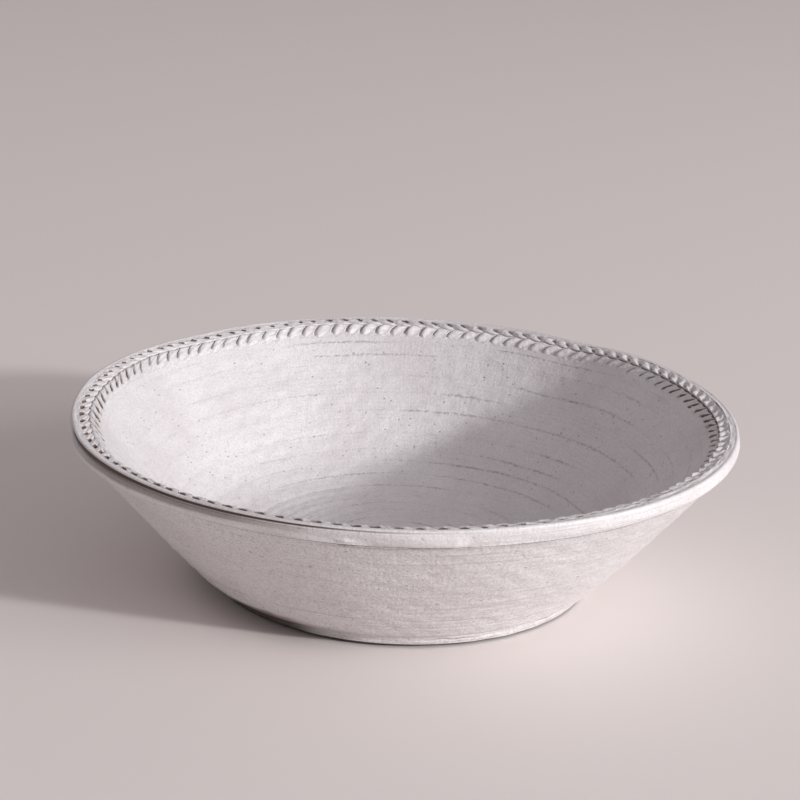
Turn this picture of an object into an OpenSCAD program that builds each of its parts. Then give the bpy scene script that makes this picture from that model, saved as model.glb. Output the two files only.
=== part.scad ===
// Wide serving bowl of white glazed clay, built from the pieces a potter joins with slip:
// a thrown body, a turned foot ring, a rolled rim, and a braid of two notched cords on the rim.
// Millimetres. +Z is up, the axis of the bowl is Z, and the foot stands on z = 0.

/* [Bowl] */
// Diameter over the rim's bead, the widest place
rim_d = 330; // [280:1:380]
// Height from the table to the top of the rim
bowl_h = 86.4; // [72:0.2:110]
// Thickness of the wall, square to its face
wall_t = 10; // [7:0.5:12]
// Thickness of the floor
floor_t = 9; // [6:0.5:14]
// Radius of the curve from floor to wall, inside
knee_r = 60; // [30:1:90]
// Height of the turned-in band at the bottom of the wall
turn_h = 3.2; // [1:0.1:6]
// Width of the turned-in band at the bottom of the wall
turn_w = 5; // [2:0.1:9]

/* [Foot ring] */
// Outer diameter of the face that it stands on
foot_d = 188.6; // [150:0.2:220]
// Height of the foot ring, and depth of the recess inside it
foot_h = 7; // [5:0.5:14]
// Width of the face that it stands on
foot_w = 10; // [6:0.5:16]
// How far its top stands out past its bottom edge
foot_flare = 2.7; // [0:0.1:5]
// How far the wall stands out past the top of the foot
base_step = 1.5; // [0.5:0.1:4]

/* [Rolled rim] */
// Diameter of the bead round the outside
bead_d = 5.2; // [4:0.1:7]
// Depth of the bead's centre below the top of the rim
bead_drop = 4.8; // [4:0.1:6]
// How far the bead stands out past the top of the wall
bead_out = 4.4; // [3:0.1:6]
// Diameter of the rounded top edge
edge_d = 2.6; // [1.6:0.1:4]
// How far the top edge lies inside the bead
edge_setback = 0.8; // [0:0.1:2]
// Width of the plain ledge between the top edge and the braid
ledge_w = 2.8; // [1:0.1:6]
// Slope of the ledge and of the outer cord's seat, in degrees
ledge_a = 19; // [8:1:28]
// Height of the plain lip inside, below the braid
lip_h = 1.4; // [0.6:0.1:4]

/* [Braid] */
// Number of lobes in each cord
lobes = 118; // [80:1:140]
// Width of the outer cord
outer_w = 5.2; // [4:0.1:7]
// Width of the inner cord
inner_w = 7.4; // [5:0.1:9]
// Height of the outer cord's lobes above its seat
outer_h = 2.1; // [1.2:0.1:3]
// Height of the inner cord's lobes above its seat
inner_h = 2.3; // [1.2:0.1:3]
// Depth of the notches between the lobes
notch_d = 1; // [0.4:0.1:1.1]
// Slant of the outer cord's lobes from straight across, in degrees
outer_slant = 42; // [0:1:55]
// Slant of the inner cord's lobes from straight across, in degrees
inner_slant = 34; // [0:1:50]
// Slope of the inner cord's seat, in degrees
inner_a = 38; // [28:1:50]
// Depth of the channel that the braid lies in
seat_d = 0.6; // [0.2:0.1:1.2]
// Gap between the two cords, and between a cord and its channel's side
cord_gap = 0.2; // [0.1:0.05:0.6]

/* [Hidden] */
$fn = 96;

glaze = [0.90, 0.88, 0.87];
cord_glaze = [0.84, 0.81, 0.80];
bare_clay = [0.66, 0.56, 0.50];

// A point's place in a section is [radius, height].
function along(a, s) = [s * cos(a), s * sin(a)];
function square_to(a, s) = [-s * sin(a), s * cos(a)];

// Rim section: the rounded edge, then the ledge, then the seats of the two cords going inwards.
rim_r = rim_d / 2;
edge_c = [rim_r - edge_setback - edge_d / 2, bowl_h - edge_d / 2];
bead_c = [rim_r - bead_d / 2, bowl_h - bead_drop];
ledge_top = edge_c + square_to(ledge_a, edge_d / 2);
ledge_end = ledge_top - along(ledge_a, ledge_w);
seat_out = ledge_end - square_to(ledge_a, seat_d);
seat_fold = seat_out - along(ledge_a, outer_w);
seat_in = seat_fold - along(inner_a, inner_w);

// The rim is joined to the wall on a flat ring below the braid and the bead.
joint_z = min(seat_in[1], bead_c[1] - bead_d / 2) - lip_h;
joint_r = rim_r - bead_out;

// Wall: a straight outside from the turned-in band up to the rim, and an inside parallel to it.
foot_top_r = foot_d / 2 + foot_flare;
base_r = foot_top_r + base_step;
turn_r = base_r + turn_w;
turn_z = foot_h + turn_h;
wall_a = atan2(joint_z - turn_z, joint_r - turn_r);
lip_r = joint_r - wall_t / sin(wall_a);
floor_z = foot_h + floor_t;
floor_r = lip_r - (joint_z - floor_z) / tan(wall_a);
knee_t = knee_r * tan(wall_a / 2);
knee_c = [floor_r - knee_t, floor_z + knee_r];
knee_end = [floor_r, floor_z] + along(wall_a, knee_t);

// A cord is a half-round arch, swept round the rim in rings. Each ring runs along a lobe's slant,
// and four rings make one lobe: the notch, a flank, the crest and a flank.
arch_steps = 5;
lobe_steps = 4;
function lobe_h(h, i) = h - notch_d * (1 - sin(180 * (i % lobe_steps) / lobe_steps));
function cord_point(start, a, s, h, turn) =
    let (p = start + along(a, s) + square_to(a, h))
    [p[0] * cos(turn), p[0] * sin(turn), p[1]];
// A cord starts at the fold between the seats and lies outwards from it if side is 1, inwards if -1.
function cord_points(start, a, side, w, h, slant) =
    [for (i = [0 : lobes * lobe_steps - 1], j = [0 : arch_steps])
        let (
            f = 180 * j / arch_steps,
            s = cord_gap / 2 + (w - cord_gap) * (1 - cos(f)) / 2,
            lean = s * tan(slant) / start[0] * 180 / PI
        )
        cord_point(start, a, side * s, lobe_h(h, i) * sin(f), 360 * i / (lobes * lobe_steps) + lean)];

module cord(start, a, side, w, h, slant) {
    n = lobes * lobe_steps;
    m = arch_steps + 1;
    points = cord_points(start, a, side, w, h, slant);
    faces = [for (i = [0 : n - 1], j = [0 : m - 1])
        let (
            p = i * m + j,
            q = i * m + (j + 1) % m,
            r = (i + 1) % n * m + (j + 1) % m,
            t = (i + 1) % n * m + j
        )
        each side > 0 ? [[p, q, r], [p, r, t]] : [[p, r, q], [p, t, r]]];
    polyhedron(points, faces);
}

module bowl_body() {
    color(glaze)
    rotate_extrude()
    difference() {
        polygon([
            [0, foot_h],
            [base_r, foot_h],
            [turn_r, turn_z],
            [joint_r, joint_z],
            [0, joint_z]
        ]);
        difference() {
            polygon([
                [0, floor_z],
                [floor_r, floor_z],
                [lip_r, joint_z],
                [0, joint_z]
            ]);
            difference() {
                polygon([
                    [knee_c[0], floor_z],
                    [floor_r, floor_z],
                    knee_end,
                    knee_c
                ]);
                translate(knee_c)
                circle(knee_r);
            }
        }
    }
}

module foot_ring() {
    color(bare_clay)
    rotate_extrude()
    polygon([
        [foot_d / 2 - foot_w, 0],
        [foot_d / 2, 0],
        [foot_top_r, foot_h],
        [foot_d / 2 - foot_w, foot_h]
    ]);
}

module rim_roll() {
    color(glaze)
    rotate_extrude()
    union() {
        polygon([
            [lip_r, joint_z],
            [joint_r, joint_z],
            bead_c,
            edge_c,
            ledge_top,
            ledge_end,
            seat_out,
            seat_fold,
            seat_in
        ]);
        translate(bead_c)
        circle(d = bead_d);
        translate(edge_c)
        circle(d = edge_d);
    }
}

module outer_braid_cord() {
    color(cord_glaze)
    cord(seat_fold, ledge_a, 1, outer_w, outer_h, outer_slant);
}

module inner_braid_cord() {
    color(cord_glaze)
    cord(seat_fold, inner_a, -1, inner_w, inner_h, inner_slant);
}

bowl_body();
foot_ring();
rim_roll();
outer_braid_cord();
inner_braid_cord();
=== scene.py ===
import math

import bpy
import numpy as np
from mathutils import Matrix, Vector


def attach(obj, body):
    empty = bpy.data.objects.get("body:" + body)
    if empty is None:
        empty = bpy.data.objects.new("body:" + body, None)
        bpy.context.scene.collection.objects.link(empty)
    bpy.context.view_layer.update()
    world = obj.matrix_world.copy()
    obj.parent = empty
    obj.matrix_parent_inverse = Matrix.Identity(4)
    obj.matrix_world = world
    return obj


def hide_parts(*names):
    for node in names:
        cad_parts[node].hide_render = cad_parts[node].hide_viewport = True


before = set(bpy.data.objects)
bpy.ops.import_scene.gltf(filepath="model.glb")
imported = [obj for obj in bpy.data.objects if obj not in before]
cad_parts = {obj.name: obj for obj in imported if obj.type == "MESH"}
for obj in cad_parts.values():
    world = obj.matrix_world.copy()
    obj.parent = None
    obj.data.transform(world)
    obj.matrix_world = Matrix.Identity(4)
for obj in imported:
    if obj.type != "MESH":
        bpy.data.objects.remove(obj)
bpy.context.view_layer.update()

# A wide serving bowl of white glazed clay with a braid on its rolled rim.
# Sizes are in millimetres and follow the solids. A point of a section is [radius, height].
# Marks give values by degrees round the bowl: 0 is right, 90 back, 180 left and 270 front.

scene = bpy.context.scene
MM = 0.001
TAU = 2 * math.pi

# Driving sizes, as in the solids
RIM_R = 165.0
BOWL_H = 86.4
WALL_T = 10.0
FLOOR_T = 9.0
KNEE_R = 60.0
TURN_H = 3.2
TURN_W = 5.0
FOOT_R = 94.3
FOOT_H = 7.0
FOOT_W = 10.0
FOOT_FLARE = 2.7
BASE_STEP = 1.5
BEAD_R = 2.6
BEAD_DROP = 4.8
BEAD_OUT = 4.4
EDGE_R = 1.3
EDGE_SETBACK = 0.8
LEDGE_W = 2.8
LEDGE_A = math.radians(19)
LIP_H = 1.4
LOBES = 118
OUTER_W = 5.2
INNER_W = 7.4
INNER_A = math.radians(38)
SEAT_D = 0.6
CORD_GAP = 0.2


def along(slope, s):
    """A step of length s along a slope in the section."""
    return np.array([s * math.cos(slope), s * math.sin(slope)])


def square_to(slope, s):
    """A step of length s square to a slope in the section."""
    return np.array([-s * math.sin(slope), s * math.cos(slope)])


# Places in the section that follow from the driving sizes
EDGE_C = np.array([RIM_R - EDGE_SETBACK - EDGE_R, BOWL_H - EDGE_R])
BEAD_C = np.array([RIM_R - BEAD_R, BOWL_H - BEAD_DROP])
LEDGE_TOP = EDGE_C + square_to(LEDGE_A, EDGE_R)
LEDGE_END = LEDGE_TOP - along(LEDGE_A, LEDGE_W)
SEAT_OUT = LEDGE_END - square_to(LEDGE_A, SEAT_D)
SEAT_FOLD = SEAT_OUT - along(LEDGE_A, OUTER_W)
SEAT_IN = SEAT_FOLD - along(INNER_A, INNER_W)
JOINT_Z = min(SEAT_IN[1], BEAD_C[1] - BEAD_R) - LIP_H
JOINT_R = RIM_R - BEAD_OUT
FOOT_TOP_R = FOOT_R + FOOT_FLARE
FOOT_IN_R = FOOT_R - FOOT_W
BASE_R = FOOT_TOP_R + BASE_STEP
TURN_R = BASE_R + TURN_W
TURN_Z = FOOT_H + TURN_H
WALL_A = math.atan2(JOINT_Z - TURN_Z, JOINT_R - TURN_R)
LIP_R = JOINT_R - WALL_T / math.sin(WALL_A)
FLOOR_Z = FOOT_H + FLOOR_T
FLOOR_R = LIP_R - (JOINT_Z - FLOOR_Z) / math.tan(WALL_A)
KNEE_T = KNEE_R * math.tan(WALL_A / 2)
KNEE_C = np.array([FLOOR_R - KNEE_T, FLOOR_Z + KNEE_R])
# No point of the rim or braid is laid higher than this, to stay inside the solids' box
TOP_Z = BOWL_H - 0.02


def ease(value, low, high):
    """0 below low, 1 above high, and an S-shaped rise between them."""
    t = np.clip((value - low) / (high - low), 0, 1)
    return t * t * (3 - 2 * t)


def hump(value, middle, reach, power=2):
    """A smooth bump, 1 at the middle: e to the minus (distance from the middle over reach) to a power."""
    return np.exp(-((value - middle) / reach) ** power)


def even_turns(count):
    """Count even angles round the bowl, as a column."""
    return (np.arange(count) / count * TAU)[:, None]


def hand_noise(turn, run, seed, waves, lengths=(10, 20), terms=28):
    """Smooth random relief: a sum of cosines, each with a whole number of waves round the bowl, a
    wavelength along the section between two lengths, and a random phase, scaled to a spread of about 1."""
    rng = np.random.default_rng(seed)
    rounds = rng.integers(-waves, waves + 1, terms)
    rates = TAU / rng.uniform(*lengths, terms)
    phases = rng.uniform(0, TAU, terms)
    total = np.zeros(np.broadcast(turn, run).shape)
    for n, w, p in zip(rounds, rates, phases):
        total += np.cos(n * turn + w * run + p)
    return total / math.sqrt(terms / 2)


def around(turn, marks):
    """A value that changes smoothly round the bowl: marks joined by S-shaped rises, the last to the first."""
    marks = sorted(marks.items())
    angles = np.array([m[0] for m in marks] + [marks[0][0] + 360.0])
    values = np.array([m[1] for m in marks] + [marks[0][1]])
    degrees = (np.degrees(turn) - angles[0]) % 360 + angles[0]
    k = np.clip(np.searchsorted(angles, degrees, side="right") - 1, 0, len(angles) - 2)
    t = ease(degrees, angles[k], angles[k + 1])
    return values[k] * (1 - t) + values[k + 1] * t


# How far the hand-laid rim strays from a plain circle, in millimetres: minus is inwards, and downwards
RIM_INWARD = {0: 0, 90: -0.2, 165: -0.1, 178: -1.2, 192: -1.1, 204: -0.1, 270: -0.3, 320: 0}
RIM_DOWN = {0: 0, 20: -0.2, 40: 0, 54: -1.8, 66: -0.8, 80: -0.4, 96: 0, 120: 0, 136: -0.6, 148: 0, 170: 0,
            200: -0.3, 262: -0.4, 290: -0.1, 325: -0.3, 345: 0}


def place(turn, radius, height, weight):
    """Points in metres from angle, radius and height in millimetres, moved with the rim's straying by a
    weight of 0 to 1."""
    r = radius + weight * around(turn, RIM_INWARD)
    z = height + weight * around(turn, RIM_DOWN)
    return np.stack([r * np.cos(turn), r * np.sin(turn), z], -1) * MM


def add_object(name, data):
    """A new object in the scene."""
    thing = bpy.data.objects.new(name, data)
    scene.collection.objects.link(thing)
    return thing


GLAZE_VALUES = ("run", "clay_and_shade", "grit", "lined")
# Bends sharper than this, in degrees, stay sharp
SOFT_BEND = 62
BODY_BEND = 40


def squares(near, far):
    """The corners of the small squares between neighbouring angles, from the numbers of the points on the
    near and the far side of each."""
    return np.stack([near, np.roll(near, -1, 0), np.roll(far, -1, 0), far], -1).reshape(-1, 4)


def ring_piece(name, points, closed, values, bend=SOFT_BEND):
    """A mesh from a grid of points, angle by section: each small square joins two neighbouring angles and
    two neighbouring section points. A closed section joins its last point to its first. An open one
    starts and ends on the axis, where one shared point closes it. The values are kept on the points for the
    glaze: the run along the section in metres, how much brown clay and painted shade show, how sandy it is,
    and how strongly the throwing lines show."""
    n, m = points.shape[:2]
    values = {key: np.broadcast_to(v, (n, m)) for key, v in zip(GLAZE_VALUES, values)}
    if closed:
        grid = np.arange(n * m).reshape(n, m)
        quads = squares(grid, np.roll(grid, -1, 1))
        fans = np.empty((0, 3), int)
        coords = points.reshape(-1, 3)
        keep = {key: v.reshape(-1) for key, v in values.items()}
    else:
        grid = np.arange(n * (m - 2)).reshape(n, m - 2)
        quads = squares(grid[:, :-1], grid[:, 1:])
        first, last = np.full(n, grid.size), np.full(n, grid.size + 1)
        a, b = grid[:, 0], grid[:, -1]
        fans = np.concatenate([
            np.stack([first, np.roll(a, -1), a], -1),
            np.stack([b, np.roll(b, -1), last], -1),
        ])
        coords = np.concatenate([points[:, 1:-1].reshape(-1, 3), points[:1, 0], points[:1, -1]])
        keep = {key: np.concatenate([v[:, 1:-1].reshape(-1), v[:1, 0], v[:1, -1]])
                for key, v in values.items()}
    loops = np.concatenate([quads.ravel(), fans.ravel()])
    totals = np.concatenate([np.full(len(quads), 4), np.full(len(fans), 3)])
    starts = np.concatenate([[0], np.cumsum(totals)[:-1]])
    mesh = bpy.data.meshes.new(name)
    mesh.vertices.add(len(coords))
    mesh.vertices.foreach_set("co", coords.astype(np.float32).ravel())
    mesh.loops.add(len(loops))
    mesh.loops.foreach_set("vertex_index", loops.astype(np.int32))
    mesh.polygons.add(len(totals))
    mesh.polygons.foreach_set("loop_start", starts.astype(np.int32))
    mesh.polygons.foreach_set("loop_total", totals.astype(np.int32))
    mesh.update(calc_edges=True)
    mesh.validate()
    mesh.polygons.foreach_set("use_smooth", np.ones(len(totals), bool))
    mesh.set_sharp_from_angle(angle=math.radians(bend))
    for key, value in keep.items():
        layer = mesh.attributes.new(key, "FLOAT", "POINT")
        layer.data.foreach_set("value", value.astype(np.float32))
    return add_object(name, mesh)


def section_run(section):
    """Distance along a section, in millimetres, for each of its points."""
    return np.concatenate([[0], np.cumsum(np.hypot(*np.diff(section, axis=0).T))])


def even_run(points, count):
    """Count points at even steps along a bent line, ends included."""
    points = np.asarray(points, float)
    steps = section_run(points)
    at = np.linspace(0, steps[-1], count)
    return np.stack([np.interp(at, steps, points[:, 0]), np.interp(at, steps, points[:, 1])], -1)


def eased_run(points, count, reach, dense_count=1200):
    """Points at even steps along a bent line whose corners are eased: a dense run of points, each the
    average of its neighbours within reach, with both ends kept."""
    dense = even_run(points, dense_count)
    length = np.hypot(*np.diff(dense, axis=0).T).sum()
    half = max(1, int(reach / length * dense_count))
    pad_a = 2 * dense[0] - dense[half:0:-1]
    pad_b = 2 * dense[-1] - dense[-2:-half - 2:-1]
    padded = np.concatenate([pad_a, dense, pad_b])
    window = np.hanning(2 * half + 3)[1:-1]
    window /= window.sum()
    eased = np.stack([np.convolve(padded[:, i], window, "valid") for i in (0, 1)], -1)
    return even_run(eased, count)


def section_normals(section):
    """Unit steps out of the clay, square to the section, for a section that keeps the clay on its left."""
    t = np.gradient(section, axis=0)
    t /= np.maximum(np.hypot(t[:, 0], t[:, 1]), 1e-9)[:, None]
    return np.stack([t[:, 1], -t[:, 0]], -1)


def arc(centre, radius, angles):
    """Points of a round stretch of a section."""
    return centre + radius * np.stack([np.cos(angles), np.sin(angles)], -1)


# The thrown body

BODY_TURNS = 384
OUTER_ROWS = 96
INNER_ROWS = 142
KNEE_ROWS = 60
UNDER_R = (0, 9, 20, 32, 44, 56, 68, 78, FOOT_IN_R, 90, FOOT_TOP_R)
BASE_EASE = 2.6
WALL_BULGE = 0.6
# Heights and radii over which something comes or goes
FOOT_FADE = (FOOT_H + 0.5, FOOT_H + 5)
RIM_FADE = (JOINT_Z - 5, JOINT_Z - 0.3)
MIDDLE_FADE = (2, 14)
LOW_WALL = (14, 40)
FLOOR_ENDS = (60, 96)
STRAY_FROM = (30, JOINT_Z)
STAIN_FADE = (8.0, 17.0)
# Relief square to the wall, in millimetres
OUTER_RIDGES = 0.07
LOW_RIDGES = 0.07
OUTER_DENTS = 0.11
OUTER_BENDS = 0.07
INNER_RIDGES = 0.06
FINE_RIDGES = 0.02
FLOOR_RIDGES = 0.22
INNER_DENTS = 0.08
INNER_BENDS = 0.08
DRAG_MARKS = 0.05
# Height and reach of the tuck and of the painted shade below the bead
TUCK_AT = (76.7, 1.5)
SHADE_AT = (75.4, 1.9)
# How strongly throwing lines show high on the wall, and how sandy the glaze is where it is calm
WALL_LINES = 0.45
CALM_GRIT = 0.7
# How dark the foot and the low wall are painted on the left: bare clay there, and painted shade on the side
# away from the lamps
FOOT_STAIN_AND_SHADE = {0: 0, 150: 0.3, 185: 1, 236: 1, 252: 0.55, 268: 0.1, 290: 0}
# How far the wall is tucked in under the bead, in millimetres
WALL_TUCK = {0: 0.1, 230: 0.1, 258: 0.2, 266: 0.75, 284: 0.7, 296: 0.35, 330: 0.2}
# How sandy the wall is on the outside
WALL_GRIT = {0: 1, 180: 1.2, 255: 1.25, 285: 1.05, 320: 1}
# How strongly shade is painted on the wall just below the bead
BEAD_SHADE = {0: 0.1, 60: 0, 250: 0, 262: 0.4, 285: 0.42, 310: 0.3, 335: 0.2}
# How strongly the throwing lines show inside
INNER_LINES = {0: 0.8, 50: 1, 100: 1, 130: 0.5, 160: 0.2, 205: 0.25, 245: 0.7, 300: 0.9}


def body_section():
    """The body's section from the middle of the underside, out to the foot, up the outer wall, over the
    joint under the rim, and down the inner wall to the middle of the floor."""
    under = np.array([[r, FOOT_H] for r in UNDER_R])
    corners = [[FOOT_TOP_R, FOOT_H], [BASE_R, FOOT_H], [TURN_R, TURN_Z], [JOINT_R, JOINT_Z]]
    outside = eased_run(corners, OUTER_ROWS, BASE_EASE)
    rise = np.clip((outside[:, 1] - TURN_Z) / (JOINT_Z - TURN_Z), 0, 1)
    bulge = WALL_BULGE * 4 * rise * (1 - rise)
    outside += bulge[:, None] * np.array([math.sin(WALL_A), -math.cos(WALL_A)])
    knee = arc(KNEE_C, KNEE_R, -np.linspace(math.pi / 2 - WALL_A, math.pi / 2, KNEE_ROWS))
    inside = even_run(np.concatenate([[[LIP_R, JOINT_Z]], knee, [[0, FLOOR_Z]]]), INNER_ROWS)
    return under, outside, inside


def throwing_ridges(turn, run, spacing, seed):
    """The ridges that fingers leave on turning clay: a cosine along the section that climbs once round
    the bowl and drifts slowly."""
    drift = 0.9 * hand_noise(turn, run, seed, waves=3, lengths=(40, 110), terms=14)
    return np.cos(TAU * run / spacing + turn + drift)


def build_body():
    """The body: its section carried round the axis, with throwing ridges and shallow dents pushed square to
    the wall, fading out at the joints with the foot and the rim, and a tuck below the bead."""
    under, outside, inside = body_section()
    section = np.concatenate([under[:-1], outside, inside])
    normals = section_normals(section)
    part = np.repeat([0, 1, 2], [len(under) - 1, len(outside), len(inside)])
    is_outer, is_inner = part == 1, part == 2
    turn = even_turns(BODY_TURNS)
    s = section_run(section)[None, :]
    radius, height = section[None, :, 0], section[None, :, 1]
    below_rim = 1 - ease(height, *RIM_FADE)
    low = 1 - ease(height, *LOW_WALL)
    flat = 1 - ease(radius, *FLOOR_ENDS)
    outer_relief = (
        (OUTER_RIDGES + LOW_RIDGES * low) * throwing_ridges(turn, s, spacing=3.7, seed=5)
        + OUTER_DENTS * hand_noise(turn, s, seed=6, waves=60, lengths=(6, 20))
        + OUTER_BENDS * hand_noise(turn, s, seed=7, waves=7, lengths=(30, 90))
    )
    inner_relief = (
        INNER_RIDGES * throwing_ridges(turn, s, spacing=9.3, seed=8)
        + FINE_RIDGES * throwing_ridges(turn, s, spacing=4.1, seed=9)
        + FLOOR_RIDGES * flat * throwing_ridges(turn, s, spacing=6.4, seed=10)
        + INNER_DENTS * hand_noise(turn, s, seed=11, waves=60, lengths=(7, 22))
        + INNER_BENDS * hand_noise(turn, s, seed=12, waves=6, lengths=(30, 90))
        + DRAG_MARKS * (1 - flat) * hand_noise(turn, s, seed=13, waves=110, lengths=(22, 60))
    )
    outer_push = outer_relief * (ease(height, *FOOT_FADE) * below_rim)
    outer_push = outer_push - around(turn, WALL_TUCK) * hump(height, *TUCK_AT)
    inner_push = inner_relief * (below_rim * ease(radius, *MIDDLE_FADE))
    push = np.where(is_outer, outer_push, np.where(is_inner, inner_push, 0))
    r = radius + push * normals[None, :, 0]
    z = height + push * normals[None, :, 1]
    points = place(turn + 0 * s, r, z, ease(height, *STRAY_FROM))
    # Bare clay and painted shade low on the left of the outer wall
    stain_and_shade = around(turn, FOOT_STAIN_AND_SHADE) * (1 - ease(height, *STAIN_FADE)) * is_outer
    # Painted shade on the wall just below the bead, where the bead shades it
    shade = around(turn, BEAD_SHADE) * hump(height, *SHADE_AT) * is_outer
    grit = np.where(is_outer, around(turn, WALL_GRIT), CALM_GRIT)
    inner_lines = np.maximum(around(turn, INNER_LINES), flat)
    lined = np.where(is_inner, inner_lines, WALL_LINES + (1 - WALL_LINES) * low)
    values = (s * MM, stain_and_shade + shade, grit, lined)
    return ring_piece("thrown_bowl_body", points, False, values, BODY_BEND)


# The foot ring

FOOT_TURNS = 480
INNER_EASE = 2.1
LOW_EDGE = [[FOOT_R - 4.0, 0], [FOOT_R - 0.7, 1.0], [FOOT_R + 0.45, 2.2]]
LOW_EDGE_EASE = 0.5
TOP_R = 92.0
# Below this height the foot is stretched up or down
STRETCH_TO = 5
# The crease where the ring was luted on, and the outer face's roughness and how far it may stand out
CREASE_Z, CREASE_WANDER = 4.4, 0.35
CREASE_DEEP, CREASE_CHANGE = 0.28, 0.22
CREASE_REACH = 0.45
FOOT_ROUGH = 0.12
FOOT_OUT = 0.25
# Height of the dark bottom edge, which is bare clay and painted contact shadow, and its soft border;
# how bare the clay is underneath; and how strongly the outer face takes the stain and painted shade of the
# left
DARK_H, DARK_SOFT = 1.6, 0.7
BARE_UNDER = 0.62
FACE_STAIN_AND_SHADE = 0.8
FOOT_LINES = 0.6
# How tall the foot's bevelled bottom edge is, as a share, and with it the painted contact shadow along it
FOOT_EDGE = {0: 0.45, 150: 0.9, 190: 1.3, 236: 1.35, 255: 1.1, 275: 0.95, 310: 0.6}


def foot_section():
    """The foot's closed section: the bevelled bottom edge and the face above it, which are counted, then the
    top, the inner side, its rounded bottom edge and the standing face."""
    low_edge = eased_run(LOW_EDGE, 8, LOW_EDGE_EASE)
    face = even_run([low_edge[-1], [FOOT_TOP_R, FOOT_H]], 18)[1:]
    round_c = np.array([FOOT_IN_R + INNER_EASE, INNER_EASE])
    inner_edge = arc(round_c, INNER_EASE, np.linspace(math.pi, math.pi * 1.5, 6))
    top = np.array([[TOP_R, FOOT_H], [FOOT_IN_R, FOOT_H]])
    inner = even_run([[FOOT_IN_R, FOOT_H], inner_edge[0]], 6)[1:-1]
    rest = even_run([inner_edge[-1], low_edge[0]], 6)[1:-1]
    return np.concatenate([low_edge, face, top, inner, inner_edge, rest]), len(low_edge) + len(face)


def build_foot():
    """The foot ring: its section carried round the axis, with a bottom edge that is taller on the left, and
    a rough wavy crease round its outer face where the clay was luted on."""
    section, face_rows = foot_section()
    turn = even_turns(FOOT_TURNS)
    s = section_run(section)[None, :]
    on_face = (np.arange(len(section)) < face_rows) * 1.0
    height = section[None, :, 1]
    raised = around(turn, FOOT_EDGE)
    height = height * (raised + (1 - raised) * np.maximum(ease(height, 0, STRETCH_TO), 1 - on_face))
    fade = on_face * ease(height, 0.2, 1.4) * (1 - ease(height, FOOT_H - 1.0, FOOT_H))
    wander = hand_noise(turn, 0 * s, seed=21, waves=60, terms=16)
    change = hand_noise(turn, 0 * s, seed=22, waves=24, terms=16)
    crease_z = CREASE_Z + CREASE_WANDER * wander
    crease = np.clip(CREASE_DEEP + CREASE_CHANGE * change, 0, 1) * hump(height, crease_z, CREASE_REACH)
    relief = FOOT_ROUGH * hand_noise(turn, s, seed=23, waves=40, lengths=(2.5, 9)) - crease
    r = section[None, :, 0] + np.minimum(fade * relief, FOOT_OUT)
    points = place(turn + 0 * s, r, height, np.zeros(r.shape))
    # A near-black band along the bottom edge: bare clay, and painted contact shadow, thickest on the left
    dark_edge = 1 - ease(height, DARK_H * raised, DARK_H * raised + DARK_SOFT)
    bottom = on_face * dark_edge + BARE_UNDER * (1 - on_face)
    # The crease's dark line, and bare clay with painted shade on the left of the outer face
    stained_and_shaded = np.maximum(crease * fade, FACE_STAIN_AND_SHADE * around(turn, FOOT_STAIN_AND_SHADE) * on_face)
    clay_and_shade = np.clip(np.maximum(stained_and_shaded, bottom), 0, 1)
    return ring_piece("turned_foot_ring", points, True, (s * MM, clay_and_shade, 1.0, FOOT_LINES))


# The rolled rim

RIM_TURNS = 720
# How far the braid's channel is sunk below its seat, and how far the wall goes on above the joint
SEAT_SUNK = 0.9
WALL_REACH = 2.49
BEAD_FROM = math.radians(-72)
UNDERCUT_RISE = 1.6
UNDERCUT_EASE = 0.7
# Height and reach of each shape on the bead
UNDERCUT_AT = (79.0, 1.5)
BELLY_AT = (81.6, 1.9)
LUMP_Z = (80.8, 1.0)
SMEAR_LOW = (79.6, 1.0)
SMEAR_HIGH = (83.6, 0.8)
# Direction and reach of the lump, in degrees
LUMP_AT = (261.6, 1.2)
# Heights over which the sag starts and stops, and the fine lines stop
SAG_FROM = (JOINT_Z, 79.2)
SAG_TO = (82.6, 84.9)
LINES_TO = (83.6, 84.8)
LINE_STEP = 1.1
# The leaning line that the bead's front is pressed back to: a point on it and its lean
LEAN_R, LEAN_Z, LEAN = 164.3, 84.6, 0.44
BELLY_FLAT = 0.15
LEDGE_PITS = 0.06
LEDGE_DIP = 0.08
LEDGE_Z = 85.0
SEAT_Z = 82
# A hair's breadth, to keep edges apart
HAIR = 0.05
# Height and reach of the brown on the bead, which is clay and painted shade, and of the crack between bead
# and edge
BEAD_BROWN_AT = (83.0, 1.6)
CRACK_AT = (83.95, 0.35)
# The groove below the edge: depth, height, reach, how far it is filled up, and its brown, which is clay and
# painted shade
GROOVE_DEEP = {0: 0, 50: 0.2, 110: 0.5, 165: 0.7, 188: 1.1, 205: 1.6, 222: 1.6, 243: 1.1, 256: 1,
               270: 0.6, 284: 0.2, 310: 0.1, 340: 0}
GROOVE_AT = {0: 83.7, 150: 83.9, 185: 84.4, 205: 84.8, 225: 85, 263: 85, 285: 84.7, 310: 83.9}
GROOVE_WIDE = {0: 0.6, 185: 0.8, 210: 0.8, 240: 0.6, 258: 0.45, 275: 0.45, 330: 0.5}
GROOVE_FILLED = {0: 0.9, 60: 0.6, 120: 0.2, 180: 0, 240: 0, 262: 0.05, 272: 0.25, 284: 0.75, 300: 0.9,
                 330: 0.95}
GROOVE_BROWN = {30: 0, 110: 0.2, 184: 0.4, 200: 1, 245: 1, 255: 0.9, 266: 0.6, 276: 0.3, 300: 0.15,
                330: 0.1}
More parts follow.
